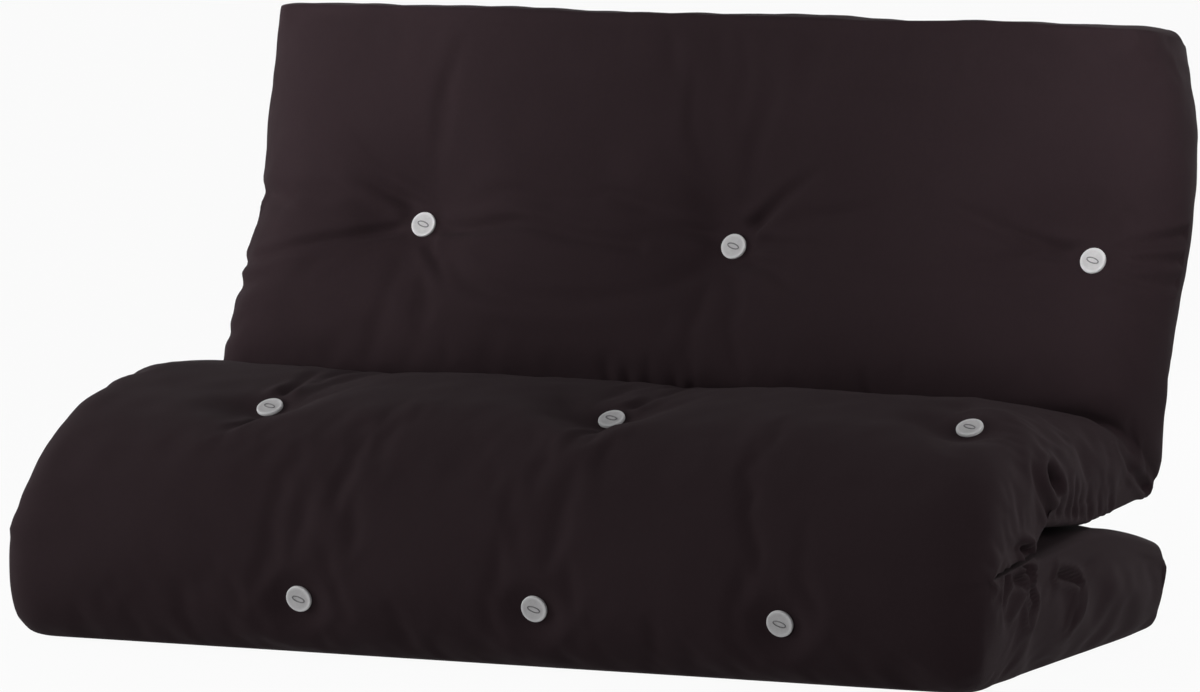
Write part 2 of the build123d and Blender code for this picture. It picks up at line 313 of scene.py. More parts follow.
corners, sides, alongs, cloth_across, cloth_along = [], [], [], [], []
run_so_far, ring_before = 0.0, rings[0]
for ring in rings:
    face, reverse, along, narrow = ring
    left, right, left_round, right_round = (
        width_at(values, along) for values in (left_widths, right_widths, left_rounds, right_rounds)
    )
    left, right = left - narrow, right - narrow
    on_back = np.clip((1 - along) / BACK_FADE, 0, 1)
    flat = np.clip((along - FLAT_START) / FLAT_FADE, 0, 1)
    on_roll = np.clip((along - ROLL_START) / ROLL_FADE, 0, 1) * np.clip((ROLL_END - along) / ROLL_FADE, 0, 1)
    reverse_round = REVERSE_ROUND + (ROLL_ROUND - REVERSE_ROUND) * on_roll
    across = np.linspace(-(left - left_round), right - right_round, COLUMNS)
    across_reverse = np.linspace(right - reverse_round, -(left - reverse_round), COLUMNS)
    reach = np.where(across < 0, left, right)
    on_seat = np.clip(1.5 - np.abs(along - SEAT_MIDDLE) / SEAT_SPREAD, 0, 1)
    on_seat *= np.clip((along - 1) / CREASE_FADE, 0, 1)
    seat_draw = np.where(across < 0, LEFT_SEAT_DRAW, RIGHT_SEAT_DRAW)
    draw = (END_DRAW + (seat_draw - END_DRAW) * on_seat) * (1 - flat)
    drawn = draw * np.clip((np.abs(across) / reach - DRAW_START) / DRAW_SPAN, 0, 1) ** 2
    reverse_drawn = drawn[::-1] * REVERSE_DRAW * on_back
    thick = max(np.linalg.norm(reverse - face), 1e-6)
    near_corner = min(SLEEPING_CORNER + (FLOOR_CORNER - SLEEPING_CORNER) * flat, CORNER_MOST * thick) / thick
    far_corner = min(REVERSE_CORNER + (ROLL_CORNER - REVERSE_CORNER) * on_roll, REVERSE_MOST * thick) / thick
    right_out, right_depth = end_profile(
        right_round, reverse_round, drawn[-1], reverse_drawn[0], near_corner, far_corner)
    left_out, left_depth = end_profile(
        left_round, reverse_round, drawn[0], reverse_drawn[-1], near_corner, far_corner)
    loop_x = np.concatenate([across, across[-1] + right_out, across_reverse, across[0] - left_out[::-1]])
    depth = np.concatenate([drawn, right_depth, 1 - reverse_drawn, left_depth[::-1]])
    section_points = face + (reverse - face) * depth[:, None]
    lift = np.clip(1 - along, 0, 1) ** LIFT_POWER * (HEAD_LIFT - HEAD_TILT * loop_x / HALF_WIDTH)
    crest = np.interp(along, crest_places, crest_rises) * depth
    section_points[:, 1] += lift + crest * np.clip((CREST_EDGE - np.abs(loop_x)) / CREST_FADE, 0, 1)
    ring_points = np.column_stack([loop_x, section_points])
    run_so_far += np.linalg.norm(face + reverse - ring_before[0] - ring_before[1]) / 2
    ring_before = ring
    steps = np.linalg.norm(np.diff(np.vstack([ring_points, ring_points[:1]]), axis=0), axis=1)
    corners.append(ring_points)
    sides.append(depth)
    alongs.append(np.full(len(depth), along))
    cloth_across.append(np.concatenate([[0.0], np.cumsum(steps)]) - across[-1])
    cloth_along.append(run_so_far)
ring_size = len(sides[0])
faces, cloth_places = [], []
for ring in range(len(rings) - 1):
    for step in range(ring_size):
        after = (step + 1) % ring_size
        a, b = ring * ring_size, (ring + 1) * ring_size
        faces.append((a + step, b + step, b + after, a + after))
        cloth_places += [
            (cloth_across[ring][step], cloth_along[ring]),
            (cloth_across[ring + 1][step], cloth_along[ring + 1]),
            (cloth_across[ring + 1][step + 1], cloth_along[ring + 1]),
            (cloth_across[ring][step + 1], cloth_along[ring]),
        ]
form_mesh = bpy.data.meshes.new("mattress_form")
form_mesh.from_pydata((np.concatenate(corners) * 0.001 + (0, NOSE_Y, 0)).tolist(), [], faces)
cloth_map = form_mesh.uv_layers.new(name="cloth")
cloth_map.data.foreach_set("uv", (np.array(cloth_places) * 0.001).astype(np.float32).ravel())
for label, values in (("side", np.concatenate(sides)), ("along", np.concatenate(alongs))):
    form_mesh.attributes.new(label, "FLOAT", "POINT").data.foreach_set("value", values.astype(np.float32))
form = bpy.data.objects.new("mattress_form", form_mesh)
bpy.context.scene.collection.objects.link(form)


def read_points(mesh, attribute, width):
    """A point attribute of a mesh as an array."""
    values = np.zeros(len(mesh.vertices) * width, np.float32)
    mesh.attributes[attribute].data.foreach_get("vector" if width == 3 else "value", values)
    return values.reshape(-1, width).astype(float) if width == 3 else values.astype(float)


def made_mesh(source):
    """The mesh that an object's modifiers give."""
    return bpy.data.meshes.new_from_object(source.evaluated_get(bpy.context.evaluated_depsgraph_get()))


# Doubles at the two closed ends are merged.
merge = form.modifiers.new("closed_ends", "WELD")
merge.merge_threshold = 0.0002
form.data = made_mesh(form)
form.modifiers.remove(merge)

# Tufts: the floor of each dimple (x, y, z), the way that its disc faces in the side view, how far its twine
# goes through the mattress, how softly the dimple rises and how far it reaches; then the same behind.
DISC_RADIUS, REVERSE_DISC_RADIUS, DISC_THICKNESS = 18.0, 12.0, 4.5
tuft_rows = dict(
    back=(((-398, 672, 518), (73, 668, 503), (594, 667, 501)), (-0.914, 0.406), 119.0, 27.0, 125.0),
    seat=(((-396, 202, 305), (90, 232, 307), (580, 262, 314)), (-0.5, 0.866), 138.0, 24.0, 110.0),
    base=(((-256, 13, 81), (82, 13, 86), (424, 13, 86)), (-0.96, -0.28), 128.0, 14.0, 60.0),
)
REVERSE_FALL, REVERSE_REACH = 16.0, 80.0
DISC_MARGIN, DIMPLE_BELOW, DIMPLE_ABOVE = 1.5, 60.0, 80.0


def press_dimples(points, side):
    """Draw the cover in to the floor of each dimple."""
    for places, facing, through, fall, reach in tuft_rows.values():
        out = np.array((0.0, *facing))
        for place in places:
            for shown in (True, False):
                floor_at = np.array(place) - (0 if shown else through) * out
                way = out if shown else -out
                radius = (DISC_RADIUS if shown else REVERSE_DISC_RADIUS) + DISC_MARGIN
                wide, soft = (reach, fall) if shown else (REVERSE_REACH, REVERSE_FALL)
                offset = points - floor_at
                height = offset @ way
                away = np.linalg.norm(offset - np.outer(height, way), axis=1)
                near = (away < wide) & (height > -DIMPLE_BELOW) & (height < DIMPLE_ABOVE)
                near &= (side < 0.4) == shown
                rise = 1 - np.exp(-np.clip(away - radius, 0, None) / soft)
                ease = np.clip((wide - away) / (0.5 * wide), 0, 1)
                ease = ease * ease * (3 - 2 * ease)
                points[near] -= np.outer((height * (1 - rise) * ease)[near], way)
    return points


def tuft_nearness(points, wide):
    """1 at the middle of a tuft, on either side, down to 0 this far away."""
    nearest = np.full(len(points), 1e9)
    for places, facing, through, *_ in tuft_rows.values():
        out = np.array((0.0, *facing))
        for place in places:
            offset = points - np.array(place)
            height = np.clip(offset @ out, -through, 0)
            nearest = np.minimum(nearest, np.linalg.norm(offset - np.outer(height, out), axis=1))
    return np.clip(1 - nearest / wide, 0, 1)


def to_plan(mesh):
    """The points of a mesh in side-view millimetres."""
    return (read_points(mesh, "position", 3) - (0, NOSE_Y, 0)) * 1000


def from_plan(mesh, points):
    """Put a mesh's points at these side-view millimetres."""
    mesh.vertices.foreach_set("co", (points * 0.001 + (0, NOSE_Y, 0)).astype(np.float32).ravel())
    mesh.update()


side, along = read_points(form.data, "side", 1), read_points(form.data, "along", 1)
points = press_dimples(to_plan(form.data), side)
from_plan(form.data, points)

# The filling swells the cover between its tufts. The cover is held at the tufts, in the crease between seat
# and back, on the floor and inside the folds, and a little slack in the cloth lets it ripple.
SWELL_LIMIT, SWELL_STEPS = 24.0, 20
TUFT_HOLD, TUFT_GRIP, HEAD_HOLD = 60.0, 2.2, 0.95
FOLD_SIDE, FOLD_ALONG, FLOOR_HOLD = 0.72, 0.9, 6.0
CREASE_BOTTOM, CREASE_HOLD = (598, 300), 16.0
held = np.clip(tuft_nearness(points, TUFT_HOLD) * TUFT_GRIP, 0, 1)
held[(side > FOLD_SIDE) & (along > FOLD_ALONG)] = 1
held[along < 0.02] = HEAD_HOLD
held[(points[:, 2] < FLOOR_HOLD) & (along > 2)] = 1
from_crease = np.linalg.norm(points[:, 1:] - CREASE_BOTTOM, axis=1)
held = np.maximum(held, np.clip(1.6 - from_crease / CREASE_HOLD, 0, 1))
group = form.vertex_groups.new(name="held")
for level in np.unique(np.round(held[held > 0.02], 1)):
    group.add(np.flatnonzero(np.abs(held - level) <= 0.05).tolist(), float(min(level, 1)), "REPLACE")
swell_cloth = form.modifiers.new("swell", "CLOTH")
drape = swell_cloth.settings
drape.vertex_group_mass = "held"
drape.use_pressure = True
drape.uniform_pressure_force = 4.0
drape.shrink_min = -0.012
drape.quality = 5
drape.mass = 0.05
drape.tension_stiffness = 15.0
drape.compression_stiffness = 15.0
drape.shear_stiffness = 6.0
drape.bending_stiffness = 0.4
drape.effector_weights.gravity = 0.0
swell_cloth.point_cache.frame_start, swell_cloth.point_cache.frame_end = 1, SWELL_STEPS
for moment in range(1, SWELL_STEPS + 1):
    bpy.context.scene.frame_set(moment)
swollen = to_plan(made_mesh(form))
form.modifiers.remove(swell_cloth)
bpy.context.scene.frame_set(1)
move = swollen - points
size = np.linalg.norm(move, axis=1)[:, None]
points = points + move * np.minimum(1, SWELL_LIMIT / np.maximum(size, 1e-6))
points[:, 2] = np.maximum(points[:, 2], 0)
from_plan(form.data, points)
finer = form.modifiers.new("finer", "SUBSURF")
finer.levels = finer.render_levels = 1
fine_mesh = made_mesh(form)
bpy.data.objects.remove(form)
side, along = read_points(fine_mesh, "side", 1), read_points(fine_mesh, "along", 1)
points = press_dimples(to_plan(fine_mesh), side)

# Creases that the tufts and the folds press into the cover: path, depth, width, how strong at its start and
# end, and the height of its ridges. On the back as x and z, on the seat as x and y, on the ends as y and z.
back_creases = [
    (((-412, 542), (-455, 566), (-526, 597)), 10, 8, 1, 0),
    (((-430, 513), (-541, 492), (-645, 464), (-705, 448)), 9, 7, 1, 0.3),
    (((-705, 556), (-653, 555), (-600, 556), (-550, 554)), 4.5, 9, 1, 0),
    (((-705, 420), (-650, 431), (-566, 460)), 5, 9, 1, 0),
    (((-710, 356), (-657, 368), (-644, 383), (-620, 395)), 3, 8, 1, 0),
    (((-365, 515), (-327, 516), (-229, 530), (-155, 517), (-52, 501)), 9, 8, 1, 0.4),
    (((-383, 493), (-350, 460), (-324, 432)), 8, 8, 1, 0),
    (((-350, 480), (-292, 446), (-187, 429), (-63, 437), (6, 456), (50, 485)), 5, 12, 1, 0.6),
    (((100, 530), (151, 574), (218, 623)), 12, 8.5, 1, 0),
    (((50, 518), (-28, 527), (-60, 525)), 8, 7.5, 1, 0),
    (((100, 507), (180, 510), (274, 514)), 7, 7, 1, 0),
    (((95, 488), (137, 480), (182, 460), (233, 436)), 7, 8, 1, 0),
    (((250, 477), (374, 478), (523, 480)), 2.5, 10, 0.4, 1),
    (((55, 530), (22, 580), (5, 612)), 5, 16, 1, 0),
    (((565, 513), (515, 525), (462, 542), (409, 561)), 10, 7.5, 1, 0),
    (((570, 503), (518, 510), (470, 499), (402, 489)), 8, 7, 1, 0),
    (((618, 512), (658, 527), (715, 540)), 7, 6, 0.7, 1),
    (((620, 503), (688, 501), (720, 498)), 7, 6, 0.7, 1),
    (((615, 490), (655, 480), (715, 466)), 5, 7, 1, 0.8),
] + [
    (((x, top), (x + lean, 316)), 3.5, 7, 0, 1)
    for x, top, lean in (
        (-84, 372, 6), (-52, 362, 3), (-14, 378, -4), (18, 360, 5), (52, 372, -5), (300, 352, 4),
    )
]
seat_creases = [
    (((-392, 215), (-403, 311), (-420, 405)), 9, 8, 1, 0),
    (((-396, 188), (-390, 133), (-400, 111), (-402, 60)), 8, 8, 1, 0),
    (((97, 245), (110, 280), (102, 335)), 10, 7.5, 1, 0),
    (((95, 215), (107, 147), (97, 113), (88, 50)), 8, 8, 1, 0),
    (((572, 275), (550, 320), (545, 360)), 4, 10, 1, 0),
]
end_creases = [
    (((y, top), (y + lean, 188)), depth, width, 0.3, 1)
    for y, top, lean, depth, width in (
        (332, 250, 6, 3, 6.5), (362, 244, 12, 2.2, 5.5), (392, 240, 14, 4, 6.5), (424, 230, 10, 2.2, 6),
        (458, 220, 14, 3.6, 7), (500, 212, 12, 2.2, 5.5), (546, 208, 12, 3.4, 7),
    )
] + [
    (((302, 257), (321, 242)), 38, 10, 1, 1, 0.1),
    (((271, 291), (250, 267), (265, 235), (300, 207)), 6, 8, 0.1, 1),
    (((589, 260), (647, 225), (712, 196)), 8, 6.5, 0.3, 1),
    (((326, 128), (372, 117), (403, 104), (388, 81), (362, 53)), 15, 6, 0.7, 0.7),
    (((222, 164), (190, 163), (184, 153), (205, 145)), 16, 7, 1, 1),
    (((146, 188), (200, 174)), 8, 6, 0, 1),
    (((106, 181), (150, 177), (195, 170)), 8, 6.5, 0, 1),
    (((110, 149), (92, 125), (97, 98)), 7, 7, 1, 0.3),
    (((201, 134), (212, 116), (221, 100), (200, 86)), 9, 7, 1, 0.6),
    (((196, 126), (194, 84)), 4, 6, 0.3, 1),
    (((131, 144), (160, 138), (184, 132)), 9, 7, 0.5, 1),
    (((166, 116), (128, 97)), -7, 9, 1, 0.5),
]


def crease_push(flat, path, depth, width, start, end, ridge=0.42):
    """How far one crease moves the cover out at these flat places: a groove between two soft ridges."""
    run = smooth_run(path, np.linspace(0, len(path) - 1, 8 * len(path)))
    away, place = np.full(len(flat), 1e9), np.zeros(len(flat))
    for index, (a, b) in enumerate(zip(run, run[1:])):
        share = np.clip((flat - a) @ (b - a) / ((b - a) @ (b - a)), 0, 1)
        distance = np.linalg.norm(flat - a - share[:, None] * (b - a), axis=1)
        closer = distance < away
        away[closer] = distance[closer]
        place[closer] = (index + share[closer]) / (len(run) - 1)
    groove = -np.exp(-(away / width) ** 2) + ridge * np.exp(-((away - 2.1 * width) / (1.1 * width)) ** 2)
    return depth * (start + (end - start) * place) * groove


LUMP_WAVES = 7
LONG_LUMP, LONG_RISE, SHORT_LUMP, SHORT_RISE = 190.0, 1.6, 70.0, 0.6


def soft_lumps(places, length, seed):
    """Slow swells over the surface, about this long."""
    rng = np.random.default_rng(seed)
    total = np.zeros(len(places))
    for _ in range(LUMP_WAVES):
        way = rng.normal(size=3)
        way *= 2 * math.pi / (length * rng.uniform(0.75, 1.35)) / np.linalg.norm(way)
        total += np.sin(places @ way + rng.uniform(0, 2 * math.pi))
    return total / math.sqrt(LUMP_WAVES)


def cover_normals(mesh):
    """The outward way at each point of a mesh."""
    outward = np.zeros(len(mesh.vertices) * 3, np.float32)
    mesh.vertex_normals.foreach_get("vector", outward)
    return outward.reshape(-1, 3)


from_plan(fine_mesh, points)
outward = cover_normals(fine_mesh).astype(float)
CREASED_END = 605.0
TUFT_CLEAR, TUFT_EDGE, FLOOR_EASE = 46.0, 2.4, 30.0
on_end = (np.abs(points[:, 0]) > CREASED_END) & (along > 1.0) & (side > 0.02) & (side < 0.98)
push = np.zeros(len(points))
for creases, region, axes in (
    (back_creases, (along < 1.0) & (side < 0.55), (0, 2)),
    (seat_creases, (along > 1.0) & (along < 1.99) & (side < 0.12), (0, 1)),
    (end_creases, on_end, (1, 2)),
):
    flat = points[region][:, axes]
    for crease in creases:
        push[region] += crease_push(flat, *crease)
push *= 1 - np.clip(tuft_nearness(points, TUFT_CLEAR) * TUFT_EDGE, 0, 1)
loose = 1 - np.clip(tuft_nearness(points, TUFT_HOLD) * 2, 0, 1)
free = loose * np.where((side > 0.8) & (along > 0.98), 0, 1) * np.clip(points[:, 2] / FLOOR_EASE, 0, 1)
push += free * (LONG_RISE * soft_lumps(points, LONG_LUMP, 3) + SHORT_RISE * soft_lumps(points, SHORT_LUMP, 5))
points += outward * push[:, None]
points[:, 2] = np.maximum(points[:, 2], 0)

# Behind the bunched end of the roll the seat and the base part, so that a dark gap opens between them.
GAP_START, GAP_LEAN, GAP_LEVEL, GAP_EDGE = 241.0, 1.35, 160.0, 16.0
GAP_END, GAP_FADE, GAP_FLOOR, GAP_RAMP = 470.0, 165.0, 600.0, 40.0
SEAT_LIFT, SEAT_TOP, SEAT_FADE = 22.0, 230.0, 50.0
BASE_DROP, BASE_LOW, BASE_FADE = 5.0, 100.0, 45.0
gap_open = np.clip((points[:, 1] - GAP_LEAN * (points[:, 2] - GAP_LEVEL) - GAP_START) / GAP_EDGE, 0, 1)
gap_open = gap_open * gap_open * (3 - 2 * gap_open) * np.clip((GAP_END - points[:, 1]) / GAP_FADE, 0, 1)
gap_open *= np.clip((np.abs(points[:, 0]) - GAP_FLOOR) / GAP_RAMP, 0, 1)
seat_edge = (along > 1) & (along < 2) & (side > 0.2)
base_edge = (along > 2) & (side > 0.2)
seat_rise = SEAT_LIFT * gap_open * np.clip((SEAT_TOP - points[:, 2]) / SEAT_FADE, 0, 1)
base_fall = BASE_DROP * gap_open * np.clip((points[:, 2] - BASE_LOW) / BASE_FADE, 0, 1)
points[seat_edge, 2] += seat_rise[seat_edge]
points[base_edge, 2] -= base_fall[base_edge]

# Inside the fold the seat stays above a plane through the nose and the base stays below it.
NOSE_Z, FOLD_SLOPE, FOLD_CLEAR, FOLD_START = 148.0, 0.045, 0.6, 70.0
gap = points[:, 2] - NOSE_Z - FOLD_SLOPE * points[:, 1]
folded = points[:, 1] > FOLD_START
above = folded & (along > 1) & (along < 2) & (gap < FOLD_CLEAR)
below = folded & (along > 2) & (gap > -FOLD_CLEAR)
points[above, 2] += (FOLD_CLEAR - gap)[above]
points[below, 2] -= (FOLD_CLEAR + gap)[below]
from_plan(fine_mesh, points)
fine_mesh.polygons.foreach_set("use_smooth", np.ones(len(fine_mesh.polygons), bool))


# The cover cloth: dark charcoal brown cotton drill, a dense twill with fine slubs, soft and dull. It is sewn
# round the filling as one bag, so the weave follows the cover's own flat pattern.
def new_group(name, inputs, outputs):
    """An empty shader node group with its own sockets."""
    group = bpy.data.node_groups.new(name, "ShaderNodeTree")
    for label, value in inputs:
        group.interface.new_socket(label, in_out="INPUT", socket_type="NodeSocketFloat").default_value = value
    for label in outputs:
        group.interface.new_socket(label, in_out="OUTPUT", socket_type="NodeSocketFloat")
    return group, group.nodes.new("NodeGroupInput"), group.nodes.new("NodeGroupOutput")


def add_noise(tree, vector, scale, detail):
    """A noise texture's value on these coordinates."""
    node = tree.nodes.new("ShaderNodeTexNoise")
    node.inputs["Scale"].default_value = scale
    node.inputs["Detail"].default_value = detail
    tree.links.new(vector, node.inputs["Vector"])
    return node.outputs["Fac"]


weave, weave_in, weave_out = new_group(
    "twill_weave", (("Twill pitch", 0.0016), ("Slubs", 0.5)), ("Tone", "Height"))
weave_map = weave.nodes.new("ShaderNodeUVMap")
weave_map.uv_map = "cloth"
weave_place = weave.nodes.new("ShaderNodeSeparateXYZ")
weave.links.new(weave_map.outputs[0], weave_place.inputs[0])
weave_turns = add_math(weave, "DIVIDE", 2 * math.pi, weave_in.outputs["Twill pitch"])
weave_lines = add_math(weave, "SINE", add_math(
    weave, "MULTIPLY", add_math(weave, "ADD", weave_place.outputs[0], weave_place.outputs[1]), weave_turns))
weave_warp = add_math(weave, "SINE", add_math(
    weave, "MULTIPLY", weave_place.outputs[0], add_math(weave, "MULTIPLY", weave_turns, 2.0)))
slub_stretch = weave.nodes.new("ShaderNodeMapping")
slub_stretch.inputs["Scale"].default_value = (420.0, 46.0, 1.0)
weave.links.new(weave_map.outputs[0], slub_stretch.inputs["Vector"])
slub_lines = add_noise(weave, slub_stretch.outputs[0], 1.0, 3.0)
cloth_object = weave.nodes.new("ShaderNodeTexCoord")
cloth_clouds = add_noise(weave, cloth_object.outputs["Object"], 5.5, 5.0)
cloth_lint = add_noise(weave, cloth_object.outputs["Object"], 160.0, 3.0)
weave_height = add_math(weave, "ADD", add_math(weave, "MULTIPLY", weave_lines, 0.5), add_math(
    weave, "MULTIPLY", weave_warp, 0.22))
weave_height = add_math(weave, "ADD", weave_height, add_math(
    weave, "MULTIPLY", slub_lines, weave_in.outputs["Slubs"]))
weave.links.new(weave_height, weave_out.inputs["Height"])
weave_tone = add_math(weave, "ADD", add_math(weave, "MULTIPLY", cloth_clouds, 0.75), add_math(
    weave, "MULTIPLY", cloth_lint, 0.35))
weave_tone = add_math(weave, "ADD", weave_tone, add_math(weave, "MULTIPLY", slub_lines, 0.3))
weave_tone = add_math(weave, "ADD", weave_tone, add_math(weave, "MULTIPLY", weave_lines, 0.05))
weave_tone = add_math(weave, "SUBTRACT", weave_tone, 0.2)
weave.links.new(weave_tone, weave_out.inputs["Tone"])

drill = bpy.data.materials.new("charcoal_drill")
drill.use_nodes = True
drill_tree = drill.node_tree
drill_shader = drill_tree.nodes["Principled BSDF"]
drill_weave = drill_tree.nodes.new("ShaderNodeGroup")
drill_weave.node_tree = weave
drill_weave.inputs["Twill pitch"].default_value = 0.0016
drill_weave.inputs["Slubs"].default_value = 0.6
drill_dye = drill_tree.nodes.new("ShaderNodeValToRGB")
drill_dye.color_ramp.elements[0].color = (0.0190, 0.0115, 0.0134, 1)
drill_dye.color_ramp.elements[1].color = (0.0300, 0.0190, 0.0218, 1)
drill_tree.links.new(drill_weave.outputs["Tone"], drill_dye.inputs["Fac"])
drill_tree.links.new(drill_dye.outputs["Color"], drill_shader.inputs["Base Color"])
drill_bump = drill_tree.nodes.new("ShaderNodeBump")
drill_bump.inputs["Strength"].default_value = 0.35
drill_bump.inputs["Distance"].default_value = 0.0005
drill_tree.links.new(drill_weave.outputs["Height"], drill_bump.inputs["Height"])
drill_tree.links.new(drill_bump.outputs["Normal"], drill_shader.inputs["Normal"])
drill_rough = add_math(drill_tree, "MULTIPLY_ADD", drill_weave.outputs["Tone"], 0.12, 0.78)
drill_tree.links.new(drill_rough, drill_shader.inputs["Roughness"])
drill_shader.inputs["Specular IOR Level"].default_value = 0.06
drill_shader.inputs["Sheen Weight"].default_value = 0.010
drill_shader.inputs["Sheen Roughness"].default_value = 0.5

# The cover is parted across the seat, under which nothing shows. The front part bends round the roll and the
# rear part bends at the heel between seat and back; both keep the shading of the whole cover.
PARTING = 1.38
HEEL = Vector((0, 0.752 + NOSE_Y, 0.192))
HEEL_UP = Vector((0, 0.568, 0.823))
NOSE = Vector((0, NOSE_Y, NOSE_Z * 0.001))
FOLD_UP = Vector((0, -FOLD_SLOPE, 1)).normalized()
HEEL_BEND, FOLD_BEND = 0.008, 0.0004
fine_mesh.materials.clear()
fine_mesh.materials.append(drill)
whole_normal = fine_mesh.attributes.new("whole_normal", "FLOAT_VECTOR", "POINT")
whole_normal.data.foreach_set("vector", cover_normals(fine_mesh).ravel())
cover_parts = {}
for part, keeps_front in (("mattress_front", True), ("mattress_rear", False)):
    shell = bmesh.new()
    shell.from_mesh(fine_mesh)
    place = shell.verts.layers.float["along"]
    dropped = [
        face for face in shell.faces
        if (sum(vert[place] for vert in face.verts) / len(face.verts) > PARTING) != keeps_front
    ]
    bmesh.ops.delete(shell, geom=dropped, context="FACES")
    rim = [edge for edge in shell.edges if edge.is_boundary]
    bmesh.ops.contextual_create(shell, geom=rim)
    part_mesh = bpy.data.meshes.new(part)
    shell.to_mesh(part_mesh)
    shell.free()
    part_mesh.materials.append(drill)
    part_mesh.polygons.foreach_set("use_smooth", np.ones(len(part_mesh.polygons), bool))
    part_mesh.normals_split_custom_set_from_vertices(read_points(part_mesh, "whole_normal", 3).tolist())
    part_mesh.attributes.remove(part_mesh.attributes["whole_normal"])
    cover_parts[part] = bpy.data.objects.new(part, part_mesh)
    bpy.context.scene.collection.objects.link(cover_parts[part])
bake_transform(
    cover_parts["mattress_front"], "seat", "base",
    start=NOSE + FOLD_UP * FOLD_BEND, end=NOSE - FOLD_UP * FOLD_BEND,
)
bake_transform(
    cover_parts["mattress_rear"], "seat", "back",
    start=HEEL - HEEL_UP * HEEL_BEND, end=HEEL + HEEL_UP * HEEL_BEND,
)
soft_layers = [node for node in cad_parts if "disc" not in node and "twine" not in node]
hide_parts(*[node for node in soft_layers if not node.startswith("back")])
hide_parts(*[node for node in soft_layers if node.startswith("back")])


# Tufts: pale grey felt discs, with a pressed rim, on the floors of the dimples. A loop of grey twine is sewn
# through each disc, through the whole mattress and through the smaller disc behind it.
def new_tree(name, inputs):
    """An empty geometry node tree with named inputs, each kept by its identifier."""
    tree = bpy.data.node_groups.new(name, "GeometryNodeTree")
    tree.interface.new_socket("Geometry", in_out="INPUT", socket_type="NodeSocketGeometry")
    tree.interface.new_socket("Geometry", in_out="OUTPUT", socket_type="NodeSocketGeometry")
    keys = {}
    for label, kind in inputs:
        keys[label] = tree.interface.new_socket(label, in_out="INPUT", socket_type=kind).identifier
    return tree, tree.nodes.new("NodeGroupInput"), tree.nodes.new("NodeGroupOutput"), keys


def add_step(tree, kind, links=(), **settings):
    """A node, its settings, and the sockets that feed it."""
    node = tree.nodes.new(kind)
    for label, value in settings.items():
        setattr(node, label, value)
    for label, value in links:
        if isinstance(value, bpy.types.NodeSocket):
            tree.links.new(value, node.inputs[label])
        else:
            node.inputs[label].default_value = value
    return node


def set_on_tufts(tree, given, made, shape):
    """Put the shape on every tuft, facing out, as a real mesh with its material."""
    facing, sideways, scale = (
        add_step(tree, "GeometryNodeInputNamedAttribute", [("Name", label)], data_type=kind)
        for label, kind in (("facing", "FLOAT_VECTOR"), ("sideways", "FLOAT_VECTOR"), ("scale", "FLOAT"))
    )
    turn = add_step(tree, "FunctionNodeAxesToRotation", [
        ("Primary Axis", facing.outputs["Attribute"]), ("Secondary Axis", sideways.outputs["Attribute"]),
    ], primary_axis="Z", secondary_axis="X")
    tufts = add_step(tree, "GeometryNodeMeshToPoints", [("Mesh", given.outputs["Geometry"])])
    placed = add_step(tree, "GeometryNodeInstanceOnPoints", [
        ("Points", tufts.outputs[0]), ("Instance", shape), ("Rotation", turn.outputs[0]),
        ("Scale", scale.outputs["Attribute"]),
    ])
    solid = add_step(tree, "GeometryNodeRealizeInstances", [("Geometry", placed.outputs[0])])
    dressed = add_step(tree, "GeometryNodeSetMaterial", [
        ("Geometry", solid.outputs[0]), ("Material", given.outputs["Material"]),
    ])
    tree.links.new(dressed.outputs[0], made.inputs["Geometry"])


disc_tree, disc_given, disc_made, disc_keys = new_tree("felt_disc", (
    ("Radius", "NodeSocketFloat"), ("Thickness", "NodeSocketFloat"), ("Rim width", "NodeSocketFloat"),
    ("Rim height", "NodeSocketFloat"), ("Material", "NodeSocketMaterial"),
))
disc_blank = add_step(disc_tree, "GeometryNodeMeshCylinder", [
    ("Vertices", 36), ("Side Segments", 2), ("Fill Segments", 7),
    ("Radius", disc_given.outputs["Radius"]), ("Depth", disc_given.outputs["Thickness"]),
], fill_type="TRIANGLE_FAN")
disc_place = add_step(disc_tree, "GeometryNodeInputPosition")
disc_axes = add_step(disc_tree, "ShaderNodeSeparateXYZ", [("Vector", disc_place.outputs[0])])
disc_flat = add_step(disc_tree, "ShaderNodeCombineXYZ", [
    ("X", disc_axes.outputs["X"]), ("Y", disc_axes.outputs["Y"]),
])
disc_away = add_step(disc_tree, "ShaderNodeVectorMath", [
    ("Vector", disc_flat.outputs[0]),
], operation="LENGTH")
disc_inner = add_math(disc_tree, "SUBTRACT", disc_given.outputs["Radius"], disc_given.outputs["Rim width"])
disc_outer = add_math(disc_tree, "MULTIPLY_ADD", disc_given.outputs["Rim width"], 0.5, disc_inner)
disc_rim = add_step(disc_tree, "ShaderNodeMapRange", [
    ("Value", disc_away.outputs["Value"]), ("From Min", disc_inner), ("From Max", disc_outer),
], interpolation_type="SMOOTHSTEP")
disc_upper = add_math(disc_tree, "GREATER_THAN", disc_axes.outputs["Z"], 0.0)
disc_rise = add_math(disc_tree, "MULTIPLY", add_math(
    disc_tree, "MULTIPLY", disc_rim.outputs["Result"], disc_upper), disc_given.outputs["Rim height"])
disc_offset = add_step(disc_tree, "ShaderNodeCombineXYZ", [("Z", disc_rise)])
disc_pressed = add_step(disc_tree, "GeometryNodeSetPosition", [
    ("Geometry", disc_blank.outputs["Mesh"]), ("Offset", disc_offset.outputs[0]),
])
disc_marked = add_step(disc_tree, "GeometryNodeStoreNamedAttribute", [
    ("Geometry", disc_pressed.outputs[0]), ("Name", "rim"), ("Value", disc_rim.outputs["Result"]),
], data_type="FLOAT", domain="POINT")
disc_soft = add_step(disc_tree, "GeometryNodeSubdivisionSurface", [
    ("Mesh", disc_marked.outputs[0]), ("Level", 1),
])
disc_smooth = add_step(disc_tree, "GeometryNodeSetShadeSmooth", [("Geometry", disc_soft.outputs[0])])
